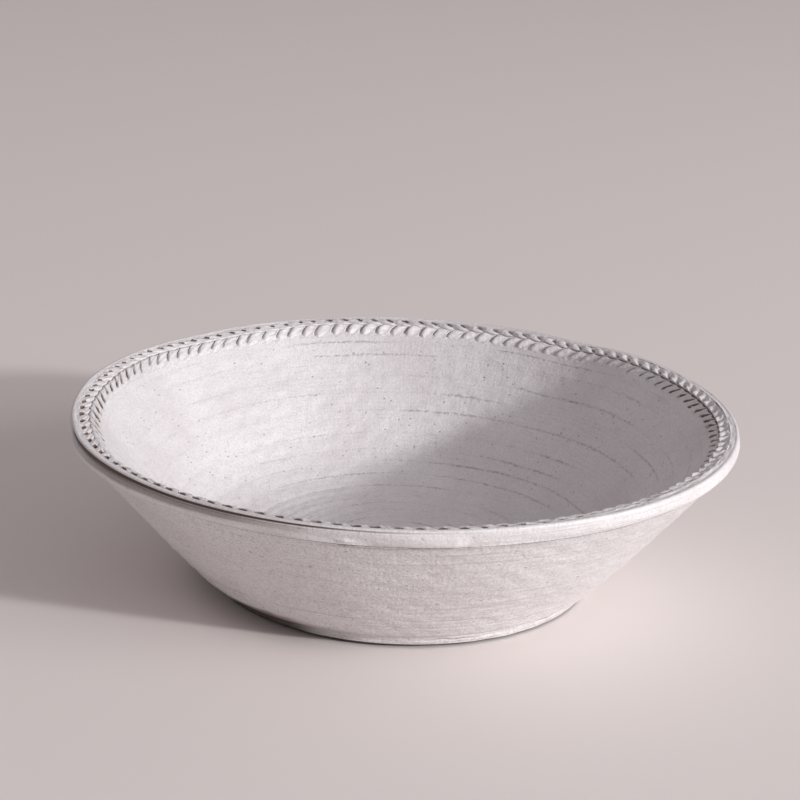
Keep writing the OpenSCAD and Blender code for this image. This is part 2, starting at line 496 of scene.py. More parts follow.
# The bead: its sag, its brown (clay and painted shade on the left), the share pressed back to the leaning
# line, the undercut below, and the smear
BEAD_SAG = {0: 0.2, 186: 0.2, 203: 1.6, 216: 1.5, 230: 1, 243: 0.7, 258: 1.2, 275: 1.6, 290: 1.3,
            315: 0.8}
BEAD_BROWN = {185: 0, 198: 0.4, 215: 0.6, 242: 0.6, 252: 0.4, 262: 0}
BEAD_LEAN = {0: 0, 200: 0, 235: 0.4, 252: 1, 286: 1, 310: 0.5, 335: 0.1}
BEAD_TUCK = {0: 0, 60: 0.2, 150: 0.2, 200: 0.1, 228: 0.2, 240: 0.5, 249: 0.4, 254: -0.4, 262: -0.4,
             266: 0.7, 300: 0.6, 330: 0.15}
SMEAR = {0: 0, 264: 0, 275: 0.55, 278.5: 0.6, 281: 0}
# In millimetres: lift of the ledge's inner side, drop of its edge, its roughness, and fine lines on the rim
LEDGE_LIFT = {0: 0.6, 35: 0.55, 60: 0.3, 90: 0, 275: 0, 290: 0.2, 305: 0.6, 335: 0.65}
EDGE_DROP = {0: 0.7, 35: 0.6, 60: 0.2, 80: 0, 290: 0, 310: 0.4, 335: 0.7}
LEDGE_ROUGH = {0: 0.2, 30: 0.2, 60: 0.14, 100: 0.1, 300: 0.1, 330: 0.18}
RIM_LINES = {0: 0.06, 40: 0.03, 80: 0, 275: 0, 300: 0.07, 340: 0.08}
# How far the braid lies out of its channel, towards the edge, in millimetres
BRAID_OUT = {0: 0, 60: 0.2, 78: -0.3, 90: 0.3, 97: 1.2, 103: 1.9, 110: 1.8, 117: 0.5, 130: 0.2, 140: 1,
             150: 1.8, 158: 1.3, 166: 0.3, 180: 0.7, 196: 0.2, 215: 0}


def rim_section():
    """The rim's section: the joint, the undercut, the bead, the groove, the rounded edge, the ledge, the sunk
    channel under the braid and the lip, which goes on in line with the wall. The bead and the edge are
    arcs up to the point where their circles meet."""
    joint = np.array([[(LIP_R + JOINT_R) / 2, JOINT_Z]])
    gap = EDGE_C - BEAD_C
    span = np.hypot(*gap)
    reach = (BEAD_R ** 2 - EDGE_R ** 2 + span ** 2) / (2 * span)
    stand = math.sqrt(BEAD_R ** 2 - reach ** 2)
    unit = gap / span
    meet = BEAD_C + reach * unit + stand * np.array([unit[1], -unit[0]])
    bead = arc(BEAD_C, BEAD_R, np.linspace(BEAD_FROM, math.atan2(*(meet - BEAD_C)[::-1]), 36))
    wall_top = np.array([JOINT_R, JOINT_Z])
    below = [wall_top, wall_top + along(WALL_A, UNDERCUT_RISE), bead[0], bead[1]]
    undercut = eased_run(below, 14, UNDERCUT_EASE)[:-1]
    turn_over = np.linspace(math.atan2(*(meet - EDGE_C)[::-1]), math.pi / 2 + LEDGE_A, 20)[1:]
    edge = arc(EDGE_C, EDGE_R, turn_over)
    ledge = even_run([LEDGE_TOP, LEDGE_END], 9)[1:]
    sunk = square_to(LEDGE_A, -SEAT_SUNK)
    wall_end = np.array([LIP_R, JOINT_Z]) + along(WALL_A, WALL_REACH)
    outer_seat = even_run([SEAT_OUT + sunk, SEAT_FOLD + sunk], 3)
    inner_seat = even_run([SEAT_FOLD + sunk, wall_end], 4)[1:]
    lip = even_run([wall_end - along(WALL_A, HAIR), [LIP_R, JOINT_Z]], 4)
    return np.concatenate([joint, undercut, bead[1:], edge, ledge, outer_seat, inner_seat, lip])


def ledge_shift(turn, s, r, z):
    """How far the ledge and the edge move up, and how far the ledge and the channel move out to follow the
    braid: small pits and roughness on the ledge, its inner side lifted and its edge pressed down. Across is
    1 at the ledge's inner side and 0 at its outer one."""
    outside_channel = r > LEDGE_END[0] - HAIR
    over = outside_channel & (z > LEDGE_Z)
    top = over * (1 - ease(r, LEDGE_END[0] + 0.9, LEDGE_TOP[0] + 0.5))
    rough = around(turn, LEDGE_ROUGH) * hand_noise(turn, s, seed=33, waves=60, lengths=(3, 9))
    pits = LEDGE_PITS * hand_noise(turn, s, seed=34, waves=150, lengths=(1.5, 5))
    across = np.clip((LEDGE_TOP[0] - r) / (LEDGE_TOP[0] - LEDGE_END[0]), 0, 1)
    up = top * (rough + pits - LEDGE_DIP) + over * across * around(turn, LEDGE_LIFT)
    pressed = ease(z, BEAD_C[1] + 0.8, EDGE_C[1])
    drop = (z > BEAD_C[1]) * outside_channel * (1 - across) * pressed
    up = up - drop * around(turn, EDGE_DROP)
    seat = np.clip((r - SEAT_FOLD[0]) / (SEAT_OUT[0] - SEAT_FOLD[0]), 0, 1)
    seat = seat * (r < JOINT_R - 0.1) * (z > SEAT_Z)
    out = around(turn, BRAID_OUT) * np.where(over, across, seat)
    return up, out


def build_rim():
    """The rim: its section carried round the axis. The groove below the edge is cut deep on the left, where
    the bead sags away from the edge, and closes on the right; the bead swells and dips by hand, with a lump
    and a flat smear at the front, where it leans in, and the undercut below it comes and goes."""
    section = rim_section()
    turn = even_turns(RIM_TURNS)
    s = section_run(section)[None, :]
    r, z = section[None, :, 0], section[None, :, 1]
    shown = ease(z, JOINT_Z, JOINT_Z + 0.9) * (r > JOINT_R - 0.5)
    groove_at, groove_wide = around(turn, GROOVE_AT), around(turn, GROOVE_WIDE)
    deep, tuck, filled = (around(turn, marks) for marks in (GROOVE_DEEP, BEAD_TUCK, GROOVE_FILLED))
    undercut, belly = hump(z, *UNDERCUT_AT), hump(z, *BELLY_AT)
    smear = around(turn, SMEAR)
    lump = hump(np.degrees(turn), *LUMP_AT)
    swell = (
        0.16 * hand_noise(turn, 0 * s, seed=31, waves=34, terms=20)
        + 0.12 * hand_noise(turn, s, seed=32, waves=60, lengths=(4, 14), terms=24)
    )
    sag = shown * ease(z, *SAG_FROM) * (1 - ease(z, *SAG_TO)) * around(turn, BEAD_SAG)
    lean_line = LEAN_R - LEAN * (LEAN_Z - z + sag)
    hull = RIM_R - EDGE_SETBACK * np.clip((z - BEAD_C[1]) / (EDGE_C[1] - BEAD_C[1]), 0, 1)
    fill = filled * np.maximum(hull - r, 0) * ((z > BEAD_C[1]) & (z < EDGE_C[1]))
    line_wander = 2.5 * hand_noise(turn, 0 * s, seed=35, waves=6, terms=12)
    fine_lines = around(turn, RIM_LINES) * (1 - ease(z, *LINES_TO))
    shift = (
        -deep * hump(z, groove_at, groove_wide) + fill - tuck * undercut
        - around(turn, BEAD_LEAN) * (1 - smear) * np.maximum(r + fill - lean_line, 0)
        + np.minimum(swell * belly, 0.0) - BELLY_FLAT * belly
        + lump * hump(z, *LUMP_Z)
        + fine_lines * np.cos(TAU * z / LINE_STEP + line_wander)
        + smear * (0.35 * hump(z, *SMEAR_LOW) + 0.4 * hump(z, *SMEAR_HIGH))
    ) * shown
    up, out = ledge_shift(turn, s, r, z)
    new_r = np.minimum(r + shift + out * math.cos(LEDGE_A), RIM_R)
    new_z = np.minimum(z + up - sag + out * math.sin(LEDGE_A), TOP_Z)
    points = place(turn + 0 * s, new_r, new_z, np.ones(new_r.shape))
    # Brown on the rim: clay in the groove and on the bead with painted shade on the left, painted shade in
    # the undercut under the bead, and a darker line in the crack
    clay_and_shade = shown * (
        around(turn, GROOVE_BROWN) * hump(z, groove_at, groove_wide, 4)
        + around(turn, BEAD_BROWN) * hump(z, *BEAD_BROWN_AT)
        + 0.35 * np.clip(tuck, 0, 1) * undercut
        + 0.2 * (1 - filled) * hump(z, *CRACK_AT)
    )
    return ring_piece("rolled_rim", points, True, (s * MM, np.clip(clay_and_shade, 0, 1), CALM_GRIT, 0.0))


# The braid of two cords

LOBE_COLUMNS = 24
ARCH_ROWS = 26
PITCH = TAU * SEAT_FOLD[0] / LOBES
# How far the lobes have drifted from even steps, and how uneven the steps are, in degrees
LOBE_DRIFT = {0: 0, 30: -0.4, 80: 0.5, 110: 1.2, 145: 0.8, 170: -0.8, 208: 2.6, 246: 2, 302: 4.8, 326: 2}
LOBE_UNEVEN = 0.25
# How far each lobe's slant may differ, in degrees either way
SLANT_UNEVEN = 4.5
# Shares of the way across a cord: the end of the rise from the fold, of its brown, and the tucked far edge
FOLD_RISE = 0.1
FOLD_BROWN_REACH = 0.05
GOES_UNDER = (0.85, 1.0)
# How far the fold zig-zags, how high the knobs are and how far the edges are sunk
FOLD_ZIGZAG = 0.35
KNOBS = 0.1
EDGE_SUNK = 0.5
# How brown the fold is painted: clay in it and painted shade, darkest on the right
FOLD_BROWN = {10: 0.8, 50: 0.6, 90: 0.3, 180: 0.5, 250: 0.5, 330: 0.8}


def lobe_turns():
    """Angles where the lobes begin, shared by both cords so that their lobes meet at the fold, with the first
    one again at the end: even steps, moved by the drift of the hand and by a small random amount each."""
    even = even_turns(LOBES)[:, 0]
    uneven = np.random.default_rng(60).uniform(-LOBE_UNEVEN, LOBE_UNEVEN, LOBES)
    starts = even + np.radians(around(even, LOBE_DRIFT) + uneven)
    return np.append(starts, starts[0] + TAU)


class Cord:
    """The grid that one cord of the braid is worked out on, finer near the gaps and the edges. Across the
    cord, q goes from 0 at the fold to 1 at the far edge; along it, f goes from 0 to 1 over one lobe, and gap
    is the distance in millimetres to the lobe's nearer end. The far edge passes under its neighbour by the
    overlap."""

    def __init__(self, starts, width, slants, seed, overlap):
        self.rng = np.random.default_rng(seed)
        self.width = width
        self.f = ((1 - np.cos(np.arange(LOBE_COLUMNS) / LOBE_COLUMNS * math.pi)) / 2)[None, :, None]
        self.q = ((1 - np.cos(np.linspace(0, math.pi, ARCH_ROWS))) / 2)[None, None, :]
        self.gap = PITCH * np.minimum(self.f, 1 - self.f)
        first, last = starts[:-1, None, None], starts[1:, None, None]
        self.turn = first + (last - first) * self.f
        self.s = CORD_GAP / 2 + (width - CORD_GAP) * self.q + overlap * ease(self.q, *GOES_UNDER)
        self.slant = np.radians(self.mark(slants) + self.per_lobe(-SLANT_UNEVEN, SLANT_UNEVEN))
        self.fold = np.sqrt(1 - (1 - np.minimum(self.q / FOLD_RISE, 1)) ** 2)
        self.fold_brown = self.mark(FOLD_BROWN) * (1 - ease(self.q, 0.0, FOLD_BROWN_REACH))

    def per_lobe(self, low, high):
        """One random value per lobe, passed smoothly along to the next lobe's."""
        v = self.rng.uniform(low, high, LOBES)[:, None, None]
        return v * (1 - self.f) + np.roll(v, -1, 0) * self.f

    def mark(self, marks):
        """The value of the marks at each angle of the grid."""
        return around(self.turn, marks)

    def piece(self, name, side, slope, height, clay_and_shade, bow):
        """The cord as a mesh: each point stands height above the slope it lies on, with small knobs, and
        leans away from the fold along the rim by the slant, bowed as told. The fold lies a little out of its
        channel in places and zig-zags from lobe to lobe. The outer cord (side 1) follows it whole, and the
        inner one (side -1) stretches."""
        q, s = self.q, self.s
        height = height + KNOBS * hand_noise(self.turn, s, seed=63, waves=300, lengths=(2.0, 6.0))
        height = np.where((q <= 0) | (q >= 1), -EDGE_SUNK, height)
        turn = self.turn + self.width * bow * np.tan(self.slant) / SEAT_FOLD[0]
        way, up, outward = along(slope, 1.0) * side, square_to(slope, 1.0), along(LEDGE_A, 1.0)
        follow = 1.0 if side > 0 else 1 - q
        out = self.mark(BRAID_OUT) * follow + FOLD_ZIGZAG * np.cos(TAU * self.f) * (1 - q)
        radius = SEAT_FOLD[0] + way[0] * s + up[0] * height + outward[0] * out
        level = SEAT_FOLD[1] + way[1] * s + up[1] * height + outward[1] * out
        level = np.minimum(level, TOP_Z)
        clay_and_shade = np.clip(np.maximum(clay_and_shade, self.fold_brown), 0, 1)
        shape = np.broadcast(turn, radius).shape
        flat = (shape[0] * shape[1], shape[2])
        rows = [np.broadcast_to(v, shape).reshape(flat) for v in (turn, radius, level, clay_and_shade, s)]
        if side > 0:
            rows = [v[:, ::-1] for v in rows]
        turn, radius, level, clay_and_shade, run = rows
        points = place(turn, radius, level, np.ones(flat))
        return ring_piece(name, points, True, (run * MM, clay_and_shade, CALM_GRIT, 0.0))


# The outer cord

OUTER_OVERLAP = 0.45
# Shares of the way across, with powers that make a lobe's end full and its fall slow at first
END_FROM, END_LONG, END_FULL = 0.42, 0.54, 2.4
FALL_END, FALL_SLOW = 0.97, 1.5
GAP_OPENS = (0.15, 0.75)
BED_CHANGES = (0.5, 0.9)
LINE_ENDS = (0.75, 0.95)
# The edge of a dimple and of its brown, as shares of its size
DIMPLE_EDGE = (0.65, 1.08)
DIMPLE_BROWN_EDGE = (0.9, 1.2)
# The bed near the ledge, and how much of the ledge's lift it takes up
FAR_BED, FAR_LIFT = 0.5, 0.8
# Brown painted along the gap lines: clay in them and painted shade
LINE_BROWN = 0.4
# The lobes: slant in degrees, bed, rise above it, roundness, half the gap between lobes, how tight it is at
# the fold, and how much they fall away
OUTER_SLANTS = {0: 42, 180: 44}
OUTER_BED = {0: 0.25, 60: 0.3, 95: 0.4, 150: 0.5, 200: 0.55, 225: 0.9, 255: 1.1, 300: 0.9, 330: 0.4}
OUTER_RISE = {0: 2.5, 40: 2.2, 60: 1.7, 95: 1, 150: 0.8, 175: 0.7, 200: 0.6, 225: 0.5, 255: 0.45, 300: 1,
              335: 2.2}
OUTER_ROUND = {0: 0.9, 60: 0.9, 95: 1, 200: 1.1, 300: 0.8}
OUTER_GAP = {0: 1.5, 45: 1.4, 65: 1.1, 95: 0.8, 150: 0.6, 200: 0.6, 250: 0.8, 300: 1.2, 335: 1.4}
OUTER_TIGHT = {0: 0.6, 45: 0.5, 75: 0.25, 200: 0.2, 300: 0.3, 335: 0.5}
OUTER_FALL = {0: 1, 45: 0.8, 80: 0, 285: 0, 320: 0.9}
# The dimple ending each gap: place across, depth, half length, half width, and how brown it is painted, as
# clay and painted shade
DIMPLE_AT = {0: 0.3, 35: 0.32, 60: 0.6, 80: 0.8, 105: 0.84, 150: 0.8, 200: 0.76, 260: 0.74, 310: 0.66,
             335: 0.4}
DIMPLE_DEEP = {0: -0.1, 35: 0.1, 60: 0.2, 95: 0.5, 150: 0.65, 215: 0.65, 300: 0.5, 335: 0.1}
DIMPLE_LONG = {0: 1, 40: 1.1, 75: 1.4, 100: 1.7, 150: 1.7, 195: 1.8, 210: 2.3, 225: 2.3, 250: 2.2,
               300: 2.2, 335: 1.4}
DIMPLE_WIDE = {0: 0.9, 60: 1.2, 95: 1.5, 150: 1.45, 195: 1.6, 210: 2.3, 225: 2.2, 255: 1.7, 300: 1.5,
               335: 1}
DIMPLE_BROWN = {0: 0.25, 25: 0.6, 45: 0.6, 65: 0.5, 95: 0.65, 130: 0.85, 180: 1, 270: 1, 295: 0.8,
                315: 0.45, 340: 0.25}


def build_outer_cord(starts):
    """The outer cord: each lobe is a half-round sausage that runs from the fold to a rounded end, over a low
    bed. The gaps between lobes are narrow at the fold, open outwards, and end in a deep dimple."""
    cord = Cord(starts, OUTER_W, OUTER_SLANTS, 61, OUTER_OVERLAP)
    q = cord.q
    crest, ends = cord.per_lobe(0.7, 1.1), cord.per_lobe(-0.06, 0.05)
    tight = cord.mark(OUTER_TIGHT)
    opening = tight + (1 - tight) * ease(q, *GAP_OPENS)
    open_by = cord.mark(OUTER_GAP) * opening * cord.per_lobe(0.85, 1.15)
    x = np.clip((cord.gap - open_by) / (PITCH / 2 - open_by), 0, 1)
    crown = (1 - (1 - x) ** 2) ** cord.mark(OUTER_ROUND)
    rounded = np.clip((q - END_FROM) / (END_LONG + ends), 0, 1)
    across = np.sqrt(np.clip(1 - rounded ** END_FULL, 0, 1))
    fall = cord.mark(OUTER_FALL)
    across = across * (1 - fall) + fall * (1 - np.minimum(q / FALL_END, 1) ** FALL_SLOW)
    far = ease(q, *BED_CHANGES)
    bed = cord.mark(OUTER_BED) * (1 - far) + (FAR_BED + FAR_LIFT * cord.mark(LEDGE_LIFT)) * far
    long, wide = cord.mark(DIMPLE_LONG) * cord.per_lobe(0.75, 1.2), cord.mark(DIMPLE_WIDE)
    away = np.sqrt((cord.gap / long) ** 2 + ((q - cord.mark(DIMPLE_AT) - ends) * OUTER_W / wide) ** 2)
    dimple = 1 - ease(away, *DIMPLE_EDGE)
    height = (bed + cord.mark(OUTER_RISE) * crest * crown * across) * cord.fold
    height = height * (1 - dimple) - cord.mark(DIMPLE_DEEP) * dimple
    # Brown in the gap lines and the dimples: clay where the glaze is thin there, and painted shade in these
    # hollows
    line = 1 - ease(cord.gap, 0.6 * open_by, 1.1 * open_by + 0.1)
    dark = 1.1 * (1 - ease(away, *DIMPLE_BROWN_EDGE))
    brown = np.maximum(LINE_BROWN * line * (1 - ease(q, *LINE_ENDS)), dark)
    clay_and_shade = brown * cord.mark(DIMPLE_BROWN)
    return cord.piece("outer_cord_of_braid", 1, LEDGE_A, height, clay_and_shade, q + 0 * cord.f)


# The inner cord

# Where the bed leaves the wall's line, in millimetres from the fold, and its curves before and after
BED_LEAVES = 7.25
BED_CROWN = 0.0262
BED_TAIL = 0.3
# Powers that make a lobe lean to its slit and round its top, and its full end
LOBE_LEAN, LOBE_TOP = 2.3, 1.2
LOBE_END, LOBE_SWELL = 0.66, 0.27
END_ROUND, END_CURVE = 0.35, 2.2
# The lips beside each slit: height, distance from it and reach, and where they end across
LIP_RISE = 0.22
LIP_AT = (0.9, 0.55)
LIP_ENDS = (0.55, 0.8)
# The slit: how narrow it starts, where it opens, the edge of its side, its soft end, its depth and its brown,
# which is clay and painted shade
SLIT_NARROW = 0.4
SLIT_OPENS = (0.05, 0.5)
SLIT_SIDE = (0.45, 1.25)
SLIT_SOFT = (0.12, 0.04)
SLIT_DEEP = 1.05
SLIT_CLAY_AND_SHADE = 1.25
BOW = 2.2
# The lobes' slant in degrees and rise, half the slit's width, its end across the cord, and how brown it is
# painted, as clay and painted shade
INNER_SLANTS = {5: 41, 45: 38, 90: 27, 120: 36, 145: 50, 185: 56, 225: 50, 270: 40}
INNER_RISE = {5: 0.15, 35: 0.5, 60: 1.25, 85: 1.4, 110: 1.3, 140: 0.7, 160: 0.3, 240: 0.2, 320: 0.15}
SLIT_WIDE = {5: 2.2, 22: 1.6, 40: 1.2, 60: 1, 75: 0.85, 115: 0.8, 140: 0.85, 160: 1.4, 180: 1.9, 210: 1.9,
             250: 0.8, 325: 1.7, 345: 2.2}
SLIT_END = {5: 0.9, 60: 0.8, 110: 0.78, 145: 0.7, 168: 0.74, 180: 0.86, 190: 0.97, 215: 0.97, 250: 0.8,
            320: 0.86}
SLIT_BROWN = {5: 1, 22: 0.95, 32: 0.6, 44: 0.3, 110: 0.3, 140: 0.45, 160: 0.75, 180: 1, 200: 1, 320: 1}


def build_inner_cord(starts):
    """The inner cord: its bed leaves the line of the wall smoothly and crowns towards the fold. A slit cut
    across it ends each lobe, and pushes up a lip that is steep beside the slit and falls away gently to the
    next one. The lobes have round lower ends at the back, and are nearly flat on the left and right."""
    cord = Cord(starts, INNER_W, INNER_SLANTS, 62, 0.0)
    q, f = cord.q, cord.f
    crest, deep, ends = cord.per_lobe(0.5, 1.25), cord.per_lobe(0.7, 1.15), cord.per_lobe(-0.17, 0.07)
    slope = math.tan(WALL_A - INNER_A)
    foot = slope * (np.hypot(*(np.array([LIP_R, JOINT_Z]) - SEAT_FOLD)) - BED_LEAVES)
    x = BED_LEAVES - cord.s
    bed = foot + slope * x - np.where(x > 0, BED_CROWN * x ** 2, BED_TAIL * x ** 2)
    rise = cord.mark(INNER_RISE)
    lobe = np.sin(math.pi * f ** LOBE_LEAN) ** LOBE_TOP
    low_end = LOBE_END + ends + LOBE_SWELL * lobe
    rounded = np.clip((q / low_end - END_ROUND) / (1 - END_ROUND), 0, 1)
    across = np.sqrt(np.clip(1 - rounded ** END_CURVE, 0, 1))
    lips = LIP_RISE * hump(cord.gap, *LIP_AT) * (1 - ease(q, LIP_ENDS[0] + ends, LIP_ENDS[1] + ends))
    slit_end = cord.mark(SLIT_END) + ends
    opening = SLIT_NARROW + (1 - SLIT_NARROW) * ease(q, *SLIT_OPENS)
    half = cord.mark(SLIT_WIDE) * opening * cord.per_lobe(0.7, 1.25)
    slit = 1 - ease(cord.gap / half, *SLIT_SIDE)
    slit = slit * (1 - ease(q, slit_end - SLIT_SOFT[0], slit_end + SLIT_SOFT[1]))
    floor = foot * (q - 0.05) - SEAT_SUNK * (1 - q) + 0.1
    height = (bed + rise * crest * lobe * across + lips * (1 - 0.5 * lobe)) * cord.fold
    height = np.maximum(height - SLIT_DEEP * deep * slit, np.minimum(floor, bed))
    # Brown in the slits: clay where the glaze is thin, and painted shade in them
    clay_and_shade = SLIT_CLAY_AND_SHADE * slit * deep * cord.mark(SLIT_BROWN)
    plump = np.clip(rise, 0, 1)
    bow = q * (1 - plump) + (1 - (1 - q) ** BOW) * plump
    return cord.piece("inner_cord_of_braid", -1, INNER_A, height, clay_and_shade, bow)


# Looks


def srgb(red, green, blue):
    """A colour written as 0 to 255 screen values, as the linear values that a shader takes."""
    def linear(v):
        v /= 255
        return v / 12.92 if v <= 0.04045 else ((v + 0.055) / 1.055) ** 2.4
    return (linear(red), linear(green), linear(blue), 1.0)


class Look:
    """A procedural material under construction: each call adds nodes and gives back an output."""

    def __init__(self, name):
        self.material = bpy.data.materials.new(name)
        self.material.use_nodes = True
        self.tree = self.material.node_tree
        self.shader = self.tree.nodes["Principled BSDF"]

    def feed(self, socket, value):
        """Sets a socket to a constant, or links an output to it."""
        if isinstance(value, (int, float, tuple)):
            socket.default_value = value
        else:
            self.tree.links.new(value, socket)

    def node(self, kind, inputs, **settings):
        """A node with its settings made and its inputs, by name or number, fed."""
        node = self.tree.nodes.new("ShaderNode" + kind)
        for key, value in settings.items():
            setattr(node, key, value)
        for key, value in inputs.items():
            self.feed(node.inputs[key], value)
        return node

    def calc(self, operation, *values):
        """Arithmetic on two or three numbers."""
        return self.node("Math", dict(enumerate(values)), operation=operation).outputs[0]

    def times(self, a, b):
        """A product."""
        return self.calc("MULTIPLY", a, b)

    def add_share(self, total, value, share):
        """The total with a share of the value added."""
        return self.calc("MULTIPLY_ADD", value, share, total)

    def vector(self, operation, inputs):
        """Arithmetic on places."""
        return self.node("VectorMath", inputs, operation=operation).outputs[0]

    def band(self, value, low, high, to_low=0.0, to_high=1.0):
        """An S-shaped change from to_low below low to to_high above high."""
        inputs = {"Value": value, "From Min": low, "From Max": high, "To Min": to_low, "To Max": to_high}
        return self.node("MapRange", inputs, interpolation_type="SMOOTHSTEP").outputs[0]

    def noise(self, at, scale, detail, rough):
        """Cloudy noise of 0 to 1."""
        inputs = {"Vector": at, "Scale": scale, "Detail": detail, "Roughness": rough}
        return self.node("TexNoise", inputs).outputs["Fac"]

    def cells(self, at, scale):
        """Distance to the nearest of scattered spots, and that spot's own random number."""
        spots = self.node("TexVoronoi", {"Vector": at, "Scale": scale}).outputs
        return spots["Distance"], self.node("SeparateXYZ", {0: spots["Color"]}).outputs[0]

    def borders(self, at):
        """Distance to the nearest of randomly spaced marks along one measure."""
        settings = {"voronoi_dimensions": "1D", "feature": "DISTANCE_TO_EDGE"}
        return self.node("TexVoronoi", {"W": at, "Scale": 1.0}, **settings).outputs["Distance"]

    def blend(self, amount, a, b):
        """A colour between a and b, which are the mixing node's inputs 6 and 7, and its output 2."""
        return self.node("Mix", {"Factor": amount, 6: a, 7: b}, data_type="RGBA").outputs[2]

    def value_of(self, name):
        """A value kept on the piece's points."""
        return self.node("Attribute", {}, attribute_name=name).outputs["Fac"]

    def object_place(self):
        """The place on the piece, in metres."""
        return self.node("TexCoord", {}).outputs["Object"]

    def ring_place(self, per_radian, per_metre):
        """A place that follows the wheel: the direction from the axis, stretched, and the run along the
        section, stretched."""
        flat = self.vector("MULTIPLY", {0: self.object_place(), 1: (1.0, 1.0, 0.0)})
        way = self.vector("SCALE", {0: self.vector("NORMALIZE", {0: flat}), "Scale": per_radian})
        run = self.node("CombineXYZ", {"Z": self.times(self.value_of("run"), per_metre)})
        return self.vector("ADD", {0: way, 1: run.outputs[0]})

    def ring_noise(self, per_radian, per_metre, detail, rough):
        """Cloudy noise that follows the wheel."""
        return self.noise(self.ring_place(per_radian, per_metre), 1.0, detail, rough)

    def bump(self, height):
        """Fine relief, in millimetres."""
        node = self.node("Bump", {"Strength": 1.0, "Distance": MM, "Height": height})
        self.feed(self.shader.inputs["Normal"], node.outputs[0])


WHITE_GLAZE = srgb(233, 230, 232)
GREY_GLAZE = srgb(223, 218, 220)
THIN_GLAZE = srgb(194, 185, 184)
LINE_CLAY = srgb(132, 116, 112)
PIT_CLAY = srgb(96, 80, 74)
# Brown of clay in the creases, also used as painted shade in them and on the side away from the lamps
NOTCH_CLAY_AND_SHADE = srgb(94, 73, 61)
# Near-black brown for the foot: bare clay underneath, and painted contact shadow along the bottom edge
FOOT_CLAY_AND_SHADOW = srgb(48, 37, 32)


def throwing_lines(look, sand):
    """Long thin lines left by throwing: borders of randomly spaced bands along the section, which drift and
    wobble round the bowl. The wide ones are broken and speckled, and fine ones show between them."""
    run = look.value_of("run")
    drift = look.ring_noise(1.3, 22.0, 2.0, 0.5)
    breaks = look.ring_noise(1.9, 110.0, 3.0, 0.6)
    speckle = look.ring_noise(55.0, 600.0, 2.0, 0.6)
    wobble = look.ring_noise(26.0, 40.0, 2.0, 0.5)
    wide_at = look.add_share(look.times(drift, 0.35), run, 95.0)
    wide_at = look.add_share(wide_at, wobble, 0.08)
    wide_at = look.add_share(wide_at, sand, 0.2)
    wide = look.band(look.borders(wide_at), 0.015, 0.09, 1.0, 0.0)
    wide = look.times(wide, look.band(breaks, 0.43, 0.60, 0.08, 1.0))
    wide = look.times(wide, look.band(speckle, 0.36, 0.64, 0.15, 1.0))
    fine_at = look.add_share(look.times(drift, 1.2), run, 380.0)
    fine_at = look.add_share(fine_at, sand, 0.5)
    fine = look.band(look.borders(fine_at), 0.03, 0.2, 0.14, 0.0)
    fine = look.times(fine, look.band(breaks, 0.58, 0.40))
    return look.times(look.calc("MAXIMUM", wide, fine), look.value_of("lined"))


def pits_and_flecks(look, at):
    """Small round pits at some of many scattered spots, and flecks drawn out round the wheel at others."""
    jog = look.node("TexNoise", {"Vector": at, "Scale": 420.0}).outputs["Color"]
    bent = look.vector("ADD", {0: at, 1: look.vector("SCALE", {0: jog, "Scale": 0.0035})})
    round_pit, round_kind = look.cells(bent, 150.0)
    long_pit, long_kind = look.cells(look.ring_place(34.0, 420.0), 1.0)
    pit = look.times(look.band(round_pit, 0.03, 0.12, 1.0, 0.0), look.band(round_kind, 0.78, 0.84))
    fleck = look.times(look.band(long_pit, 0.08, 0.26, 1.0, 0.0), look.band(long_kind, 0.81, 0.87))
    return look.calc("MAXIMUM", pit, look.times(fleck, 0.8))


def glaze_look(name, streaks, pits, notch, clay):
    """Satin white glaze over brown clay: throwing lines, fine streaks round and down the wall, flecks and
    pits, soft clouds of thinner glaze, a sandy grain, and brown in the creases and other places that the
    points' values give, which is clay and painted shade. Streaks, pits and notch say how strongly the
    streaks, the pits and that brown show, and clay is its colour."""
    look = Look(name)
    at = look.object_place()
    grit = look.value_of("grit")
    clouds = look.noise(at, 22.0, 3.0, 0.55)
    mottle = look.noise(at, 240.0, 3.0, 0.6)
    grain = look.noise(at, 900.0, 3.0, 0.6)
    sand = look.noise(at, 430.0, 4.0, 0.65)
    lumps = look.noise(at, 120.0, 2.0, 0.5)
    round_streaks = look.ring_noise(14.0, 780.0, 3.0, 0.6)
    slope_streaks = look.ring_noise(130.0, 45.0, 3.0, 0.55)
    line = throwing_lines(look, sand)
    pit = look.times(pits_and_flecks(look, at), pits)
    # Brown from the points' values: clay where the glaze is thin, and painted shade
    clay_and_shade_mix = look.times(look.band(look.value_of("clay_and_shade"), 0.15, 0.95), notch)
    thin = look.times(look.band(round_streaks, 0.55, 0.8), streaks)
    for spots, share in ((look.band(mottle, 0.48, 0.75), 0.4), (look.band(grain, 0.42, 0.68), 0.6)):
        thin = look.calc("MAXIMUM", thin, look.times(spots, look.times(grit, share)))
    colour = look.blend(look.band(clouds, 0.35, 0.7), WHITE_GLAZE, GREY_GLAZE)
    layers = [(thin, THIN_GLAZE), (look.times(line, 0.5), LINE_CLAY), (look.times(pit, 0.55), PIT_CLAY)]
    for amount, layer in layers + [(clay_and_shade_mix, clay)]:
        colour = look.blend(amount, colour, layer)
    look.feed(look.shader.inputs["Base Color"], colour)
    gloss = look.band(round_streaks, 0.3, 0.7, 0.38, 0.52)
    look.feed(look.shader.inputs["Roughness"], look.calc("ADD", gloss, look.times(clay_and_shade_mix, 0.2)))
    relief = look.times(look.calc("SUBTRACT", round_streaks, 0.5), 0.09)
    sandy = [(look.times(lumps, grit), 0.5), (grain, 0.14), (look.times(sand, grit), 0.42)]
    for value, share in [(slope_streaks, 0.12)] + sandy + [(line, -0.22), (pit, -0.25)]:
        relief = look.add_share(relief, value, share)
    look.bump(relief)
    return look.material


